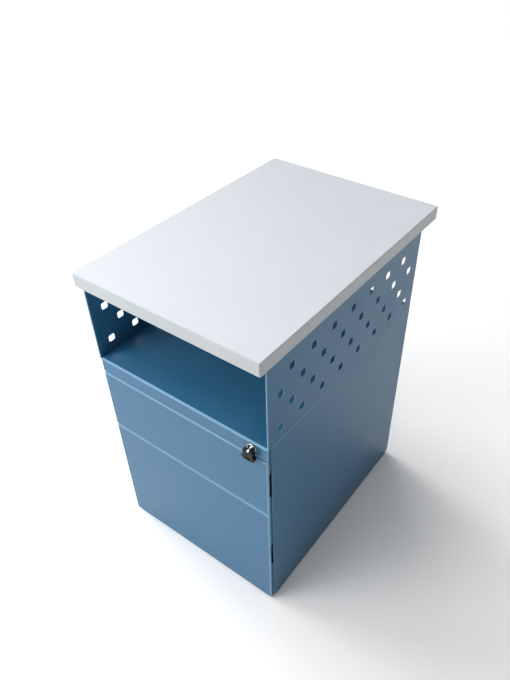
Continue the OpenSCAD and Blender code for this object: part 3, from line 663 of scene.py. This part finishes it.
def side_panel(name, side):
    """A plain wall with round lower corners, bent in under the seam."""
    y0 = side_low.y
    y1 = side_high.y
    z0 = side_low.z
    z1 = side_high.z
    leg = SEAM_BEND + LAP
    r = SIDE_CORNER_R
    outline = arc(y0 + r, z0 + r, r, 180, 270, 10) + arc(y1 - r, z0 + r, r, 270, 360, 10)
    outline += [(y1, z1 - leg), (y0, z1 - leg)]
    wall = blank(lambda bm: plate(bm, outline, [], lambda u, v, s: (side * (half_w - s), u, v),
                                  SHEET, WALL_RIM), paint)
    x = half_w - SHEET / 2
    z = z1 - SHEET / 2
    path = [(x, z1 - leg - LAP), (x, z), (half_w - NICHE_FLANGE, z)]
    section = bent_strip(path, SHEET, SEAM_BEND - SHEET / 2)
    seam = blank(lambda bm: prism(bm, section, lambda u, v, s: (side * u, s, v), y0, y1), paint)
    combine(wall, [seam], "UNION")
    settle(wall, name + "_sheet", "cabinet", "blue_powder_coat", name)


def niche_floor():
    """The niche's floor, folded down in a round bend over the rail and again at the back.

    Its corners are notched to clear the hems of the walls.
    """
    low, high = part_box("niche_floor")
    half = SHEET / 2
    path = [(high.y - half, low.z), (high.y - half, high.z - half), (low.y + half, high.z - half),
            (low.y + half, high.z - FLOOR_LIP)]
    section = bent_strip(path, SHEET, FLOOR_BEND - half)
    tray = blank(lambda bm: prism(bm, section, across, low.x, high.x), paint)
    z0 = low.z - CUT_PROUD
    z1 = high.z + CUT_PROUD
    notches = []
    for x in (low.x, high.x):
        for y in (low.y, high.y):
            loop = rounded_loop(x - HEM_T, y - HEM_L, x + HEM_T, y + HEM_L, NOTCH_CORNER, 1)
            notches.append(blank(lambda bm: prism(bm, loop, upright, z0, z1), paint))
    combine(tray, notches, "DIFFERENCE")
    settle(tray, "niche_floor_folded", "cabinet", "blue_powder_coat", "niche_floor")


# ---------------------------------------------------------------- fronts


def folded_front(node, lip_x, lip_z, bend):
    """A front folded from one sheet: face, four returns and a lip round its open rear."""
    low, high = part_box(node)

    def ring(inset_x, inset_z, y):
        r = max(FRONT_CORNER - max(inset_x, inset_z), LEAST_CORNER)
        loop = rounded_loop(low.x + inset_x, low.z + inset_z, high.x - inset_x, high.z - inset_z, r, 4)
        return [(x, y, z) for x, z in loop]

    def draw(bm):
        rear = REAR_BEND
        inside = bend - SHEET
        outer = [ring(lip_x, lip_z, high.y)]
        outer += [ring(i, i, y) for i, y in arc(rear, high.y - rear, rear, 90, 180, 4)]
        outer += [ring(i, i, y) for i, y in arc(bend, low.y + bend, bend, 180, 270, 8)]
        inner = [ring(i, i, y) for i, y in arc(bend, low.y + bend, inside, 270, 180, 8)]
        inner += [ring(SHEET, SHEET, high.y - SHEET), ring(lip_x, lip_z, high.y - SHEET)]
        shell = skin(bm, outer)
        bm.faces.new(shell[-1])
        lining = skin(bm, inner)
        bm.faces.new(lining[0])
        count = len(lining[-1])
        for i in range(count):
            j = (i + 1) % count
            bm.faces.new((lining[-1][i], lining[-1][j], shell[0][j], shell[0][i]))

    return blank(draw, paint)


def pull_cutter(node, side, rise):
    """The finger pull's slot through a side return: narrow at the face, wider towards the rear."""
    low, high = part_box(node)
    y0 = low.y + FRONT_BEND
    y1 = high.y - REAR_BEND
    mid = low.z + rise
    near = PULL_H / 2
    far = near + PULL_SLANT
    loop = soft_corners([(y0, mid - near), (y0 + PULL_SLANT, mid - far), (y1, mid - far),
                         (y1, mid + far), (y0 + PULL_SLANT, mid + far), (y0, mid + near)], PULL_CORNER)
    reach = 4 * MM
    return blank(lambda bm: prism(bm, loop, lambda u, v, s: (side * s, u, v), high.x - reach, high.x + reach),
                 paint)


def drawer_front(deck, rise):
    """A drawer's folded front, with a finger pull through each side return at this rise."""
    node = deck + "_drawer_front"
    box_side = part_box(deck + "_drawer_box")[0].x
    lip_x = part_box(node)[1].x + box_side + LIP_PAST_BOX
    front = folded_front(node, lip_x, FRONT_LIP_H, FRONT_BEND)
    combine(front, [pull_cutter(node, side, rise) for side in (-1, 1)], "DIFFERENCE")
    settle(front, node + "_folded", deck + "_drawer", "blue_powder_coat", node)


def lock_rail():
    """The fixed rail over the drawers, with the lock's hole in its face."""
    rail = folded_front("lock_rail", *RAIL_LIP, RAIL_BEND)
    loop = circle(lock_x, lock_z, barrel_r)
    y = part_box("lock_rail")[0].y
    hole = blank(lambda bm: prism(bm, loop, lambda u, v, s: (u, s, v), y - SHEET, y + 2 * SHEET), paint)
    combine(rail, [hole], "DIFFERENCE")
    settle(rail, "lock_rail_folded", "cabinet", "blue_powder_coat", "lock_rail")


# ---------------------------------------------------------------- lock and key


def on_lock(a, b, s):
    """A place at depth s behind the lock's face, a to the right and b above the lock's axis."""
    return (lock_x + a, lock_face_y + s, lock_z + b)


def lock_barrel():
    """The lock's body: a polished bezel before a die-cast barrel with a coarse thread for its nut."""
    bore = plug_r + PLUG_GAP
    round_in = bezel_r - BEZEL_ROUND
    profile = [(bore, 0.5 * MM), (bore + 0.4 * MM, 0.1 * MM), (bore + 0.9 * MM, 0)]
    profile += [(r, s) for s, r in arc(BEZEL_ROUND, round_in, BEZEL_ROUND, 180, 90, 6)]
    profile += [(bezel_r, BEZEL_T - 0.3 * MM), (bezel_r - 0.3 * MM, BEZEL_T), (barrel_r, BEZEL_T)]
    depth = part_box("lock_barrel")[1].y - lock_face_y
    turns = int((depth - BEZEL_T - 2 * THREAD_START) / THREAD_PITCH)
    for k in range(turns):
        s = BEZEL_T + THREAD_START + k * THREAD_PITCH
        profile += [(barrel_r, s), (barrel_r - THREAD_DEPTH, s + THREAD_PITCH / 2)]
    profile += [(barrel_r, depth - BARREL_CHAMFER), (barrel_r - BARREL_CHAMFER, depth), (bore, depth)]
    settle(blank(lambda bm: turned(bm, profile, on_lock, 64), chrome),
           "lock_barrel_turned", "cabinet", "lock_chrome", "lock_barrel")


def lock_plug():
    """The plug that the key turns: a turned core, slightly dished, with the keyway through its face."""
    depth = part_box("lock_plug")[1].y - lock_face_y
    bore_end = depth - SCREW_BORE_DEPTH
    profile = [(AXIS_R, PLUG_DISH), (plug_r - 1.4 * MM, PLUG_DISH), (plug_r - 0.6 * MM, 0.1 * MM)]
    profile += [(plug_r, 0.6 * MM), (plug_r, depth - PLUG_CHAMFER), (plug_r - PLUG_CHAMFER, depth)]
    profile += [(SCREW_BORE_R, depth), (SCREW_BORE_R, bore_end), (AXIS_R, bore_end)]
    core = blank(lambda bm: turned(bm, profile, on_lock), chrome)
    width, height, reach = KEYWAY
    loop = rounded_loop(-width / 2, -height / 2, width / 2, height / 2, KEYWAY_CORNER, 2)
    slot = blank(lambda bm: prism(bm, loop, on_lock, -CUT_PROUD, reach), chrome)
    combine(core, [slot], "DIFFERENCE")
    settle(core, "lock_plug_turned", "plug", "lock_chrome", "lock_plug")


def key_blade():
    """The key's blade: a flat bar with cuts in its lower edge and a groove, and a round tongue."""
    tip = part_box("key_blade")[1].y
    lower = lock_z - BLADE_H / 2
    upper = lock_z + BLADE_H / 2
    side = lock_x + BLADE_T / 2
    outline = [(hinge_y, lower)]
    sink, leave, close = PIN_CUTS
    for k, cut in enumerate(BITTING):
        y = lock_face_y + FIRST_CUT + k * CUT_PITCH
        floor = lower + cut * MM
        outline += [(y, lower), (y + sink, floor), (y + leave, floor), (y + close, lower)]
    outline += [(tip - BLADE_LEAD, lower), (tip, lower + BLADE_LEAD), (tip, upper - BLADE_CHAMFER),
                (tip - BLADE_CHAMFER, upper), (hinge_y, upper)]
    blade = blank(lambda bm: prism(bm, outline, across, lock_x - BLADE_T / 2, side), chrome)
    ring = circle(hinge_y, lock_z, TONGUE_R, 40)
    tongue = blank(lambda bm: prism(bm, ring, across, lock_x - TONGUE_T / 2, lock_x + TONGUE_T / 2), chrome)
    combine(blade, [tongue], "UNION")
    bore = circle(hinge_y, lock_z, PIN_BORE_R, 32)
    start, low, high, depth = GROOVE
    end = tip + CUT_PROUD
    groove = [(hinge_y + start, lock_z + low), (end, lock_z + low),
              (end, lock_z + high), (hinge_y + start, lock_z + high)]
    combine(blade, [
        blank(lambda bm: prism(bm, bore, across, lock_x - TONGUE_T, lock_x + TONGUE_T), chrome),
        blank(lambda bm: prism(bm, groove, across, side - depth, lock_x + BLADE_T), chrome),
    ], "DIFFERENCE")
    settle(blade, "key_blade_cut", "key", "lock_chrome", "key_blade")


# ---------------------------------------------------------------- feet and screws


def foot_pad(node, body):
    """A moulded pad with a fluted rim to grip while it is screwed up or down."""
    low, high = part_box(node)
    cx = (low.x + high.x) / 2
    cy = (low.y + high.y) / 2
    r = (high.x - low.x) / 2
    h = high.z - low.z
    profile = [(AXIS_R, 0), (r - PAD_FOOT_ROUND, 0)]
    profile += arc(r - PAD_FOOT_ROUND, PAD_FOOT_ROUND, PAD_FOOT_ROUND, -90, 0, 5)
    profile += arc(r - PAD_TOP_ROUND, h - PAD_TOP_ROUND, PAD_TOP_ROUND, 0, 90, 4)
    profile += [(PAD_BOSS_R, h), (AXIS_R, h)]

    def flute(angle):
        return 1 - FLUTE_DEPTH * max(0, math.cos(PAD_FLUTES * angle)) ** 2

    def stand(a, b, s):
        return (cx + a, cy + b, low.z + s)

    pad = blank(lambda bm: turned(bm, profile, stand, 8 * PAD_FLUTES, flute), pad_black)
    settle(pad, node + "_fluted", body, "black_plastic", node)


def loose_parts(node):
    """The corner points of each separate solid of a node."""
    bm = bmesh.new()
    bm.from_mesh(frame["nodes"][node].data)
    bmesh.ops.remove_doubles(bm, verts=bm.verts, dist=NODE_WELD)
    left = set(bm.verts)
    parts = []
    while left:
        start = left.pop()
        found = [start]
        for vert in found:
            for edge in vert.link_edges:
                other = edge.other_vert(vert)
                if other in left:
                    left.remove(other)
                    found.append(other)
        parts.append([v.co.copy() for v in found])
    bm.free()
    return parts


def screw_profile(shank_r, head_r, head_t, length):
    """A pan-head screw: depth runs from the top of its head to its tip."""
    crown = CROWN * head_t
    dome = min(head_t * 0.45, head_r * 0.5)
    profile = [(AXIS_R, 0), (head_r * 0.35, crown)]
    profile += [(head_r - dome + dome * math.sin(a), dome * (1 - math.cos(a)) + crown)
                for a in (math.radians(90 * k / 4) for k in range(1, 5))]
    profile += [(head_r, head_t * 0.92), (head_r * 0.95, head_t), (shank_r, head_t)]
    pitch = max(LEAST_PITCH, shank_r * PITCH_SHARE)
    turns = max(1, int((length - head_t - pitch) / pitch))
    for k in range(turns):
        s = head_t + pitch * (k + 0.5)
        profile += [(shank_r, s), (shank_r * THREAD_ROOT, s + pitch / 2)]
    profile += [(shank_r * TIP_SHARE, length - crown), (AXIS_R, length)]
    return profile


def recess_outline(head_r):
    """The cross of a screw's drive recess."""
    arm = head_r * RECESS_ARM
    half = head_r * RECESS_HALF_WIDTH
    return [(-half, -arm), (half, -arm), (half, -half), (arm, -half), (arm, half), (half, half),
            (half, arm), (-half, arm), (-half, half), (-arm, half), (-arm, -half), (-half, -half)]


def screws(node, body):
    """Stands a threaded pan-head screw in the place of each of a node's screws.

    The cross recesses are cut after the loop, when spot gives places on the last screw, so that
    screw alone has a recess.
    """
    drives = []

    def draw(bm):
        for points in loose_parts(node):
            low = Vector([min(p[i] for p in points) for i in range(3)])
            high = Vector([max(p[i] for p in points) for i in range(3)])
            size = high - low
            axis = max(range(3), key=lambda i: abs(size[i] - (sum(size) - size[i]) / 2))
            u, v = [i for i in range(3) if i != axis]
            centre = (low + high) / 2
            radii = [math.hypot(p[u] - centre[u], p[v] - centre[v]) for p in points]
            head_r = max(radii)
            wide = [p[axis] for p, r in zip(points, radii) if r > HEAD_SHARE * head_r]
            top_down = 1 if min(wide) - low[axis] < high[axis] - max(wide) else -1
            top = low[axis] if top_down > 0 else high[axis]
            head_t = max(wide) - min(wide)
            shank = [r for r in radii if 0.1 * MM < r < HEAD_SHARE * head_r]
            shank_r = max(shank) if shank else 0.5 * head_r

            def spot(a, b, s):
                place = centre.copy()
                place[u] += a
                place[v] += b
                place[axis] = top + top_down * s
                return place

            turned(bm, screw_profile(shank_r, head_r, head_t, size[axis]), spot, 20)
            drives.append((spot, head_r, head_t))

    def draw_recesses(bm):
        for spot, head_r, head_t in drives:
            prism(bm, recess_outline(head_r), spot, -0.5 * MM, head_t * RECESS_DEPTH)

    obj = blank(draw, zinc)
    combine(obj, [blank(draw_recesses, zinc)], "DIFFERENCE")
    settle(obj, node + "_threaded", body, "zinc_plate", node)


# ---------------------------------------------------------------- floor, light and camera

# Each soft light: degrees to the left of the front, degrees above the floor, strength, and how wide
# it looks in degrees
STUDIO_LIGHTS = {
    "window_front": (36, 25, 1.0, 42),
    "window_left": (90, 27, 2.5, 42),
    "window_rear": (120, 36, 0.8, 40),
    "ceiling_front": (30, 72, 0.6, 50),
    "ceiling_rear": (140, 68, 0.32, 50),
    "ceiling_right": (-80, 66, 0.3, 60),
}
AIR_GLOW = 0.09              # how strongly the air lights the scene
AIR_TINT = (0.97, 0.98, 1.0, 1)
FLOOR_REACH = 14             # metres from the middle to each edge
SOFTBOX_PLACE = (-0.55, -1.0, 1.2)
SOFTBOX_AIM_Z = 0.35
SOFTBOX_SIZE = 0.7
SOFTBOX_WATTS = 6

LENS = 33.09                 # focal length in mm, on a sensor 36 mm wide
SENSOR = 36
LENS_SHIFT = (-0.0383, 0.0231)
CLIP = (0.05, 60)            # nearest and farthest distance that the camera shows
CAMERA_PLACE = (0.64009, -0.84193, 1.30950)
CAMERA_AHEAD = (-0.44682, 0.61394, -0.65072)
CAMERA_UP = (-0.37923, 0.52880, 0.75931)


def studio():
    """A pale floor, windows to the left, a soft ceiling, a near softbox and a weak fill all round."""
    bm = bmesh.new()
    bmesh.ops.create_grid(bm, x_segments=1, y_segments=1, size=FLOOR_REACH)
    mesh = bpy.data.meshes.new("studio_floor")
    bm.to_mesh(mesh)
    bm.free()
    floor = bpy.data.objects.new("studio_floor", mesh)
    bpy.context.scene.collection.objects.link(floor)
    made, tree, shader, place = new_finish("studio_paper", Roughness=0.7)
    fibre = add(tree, "ShaderNodeTexNoise", values={"Scale": waves(4 * MM)}, wires={"Vector": place})
    tint = add(tree, "ShaderNodeValToRGB", wires={"Fac": fibre.outputs["Fac"]},
               stops=[(0.3, colour("#f9f9f9")), (0.7, colour("#fcfcfc"))])
    tree.links.new(tint.outputs["Color"], shader.inputs["Base Color"])
    mesh.materials.append(made)

    # The air is lit weakly, but shows as a pale backdrop
    world = bpy.data.worlds.new("studio_air")
    bpy.context.scene.world = world
    world.use_nodes = True
    tree = world.node_tree
    seen = add(tree, "ShaderNodeLightPath").outputs["Is Camera Ray"]
    level = add(tree, "ShaderNodeMapRange", values={"To Min": AIR_GLOW, "To Max": 1.0}, wires={"Value": seen})
    air = tree.nodes["Background"]
    air.inputs["Color"].default_value = AIR_TINT
    tree.links.new(level.outputs["Result"], air.inputs["Strength"])

    data = bpy.data.lights.new("near_softbox", "AREA")
    data.shape = "DISK"
    data.size = SOFTBOX_SIZE
    data.energy = SOFTBOX_WATTS
    lamp = bpy.data.objects.new("near_softbox", data)
    bpy.context.scene.collection.objects.link(lamp)
    lamp.location = SOFTBOX_PLACE
    aim = Vector((0, front_y, SOFTBOX_AIM_Z)) - lamp.location
    lamp.rotation_euler = aim.to_track_quat("-Z", "Y").to_euler()

    for name, (left, rise, strength, width) in STUDIO_LIGHTS.items():
        data = bpy.data.lights.new(name, "SUN")
        data.energy = strength
        data.angle = math.radians(width)
        lamp = bpy.data.objects.new(name, data)
        bpy.context.scene.collection.objects.link(lamp)
        around = math.radians(left)
        up = math.radians(rise)
        towards = Vector((-math.sin(around) * math.cos(up), -math.cos(around) * math.cos(up), math.sin(up)))
        lamp.rotation_euler = (-towards).to_track_quat("-Z", "Y").to_euler()


def camera():
    """A camera before the front right corner, looking down on the board and the fronts."""
    data = bpy.data.cameras.new("camera")
    data.sensor_width = SENSOR
    data.lens = LENS
    data.shift_x, data.shift_y = LENS_SHIFT
    data.clip_start, data.clip_end = CLIP
    obj = bpy.data.objects.new("camera", data)
    bpy.context.scene.collection.objects.link(obj)
    ahead = Vector(CAMERA_AHEAD)
    up = Vector(CAMERA_UP)
    turn = Matrix((ahead.cross(up), up, -ahead)).transposed()
    obj.matrix_world = Matrix.Translation(CAMERA_PLACE) @ turn.to_4x4()
    bpy.context.scene.camera = obj


camera()
studio()
paint_nodes()
edge_band()
for name, side in (("left", -1), ("right", 1)):
    niche_panel(name + "_niche_panel", side)
    side_panel(name + "_side_panel", side)
niche_floor()
drawer_front("upper", UPPER_PULL_RISE)
drawer_front("lower", LOWER_PULL_RISE)
lock_rail()
lock_barrel()
lock_plug()
key_blade()
eased("key_head", KEY_HEAD_EASE, "key_head", "key_plastic")
for corner in ("front_left", "front_right", "rear_left", "rear_right"):
    foot_pad(corner + "_foot_pad", corner + "_foot")
for node in ("shell_screws", "slide_screws", "board_screws"):
    screws(node, "cabinet")
for deck in ("upper", "lower"):
    screws(deck + "_drawer_screws", deck + "_drawer")

bpy.context.scene.view_settings.view_transform = "Standard"
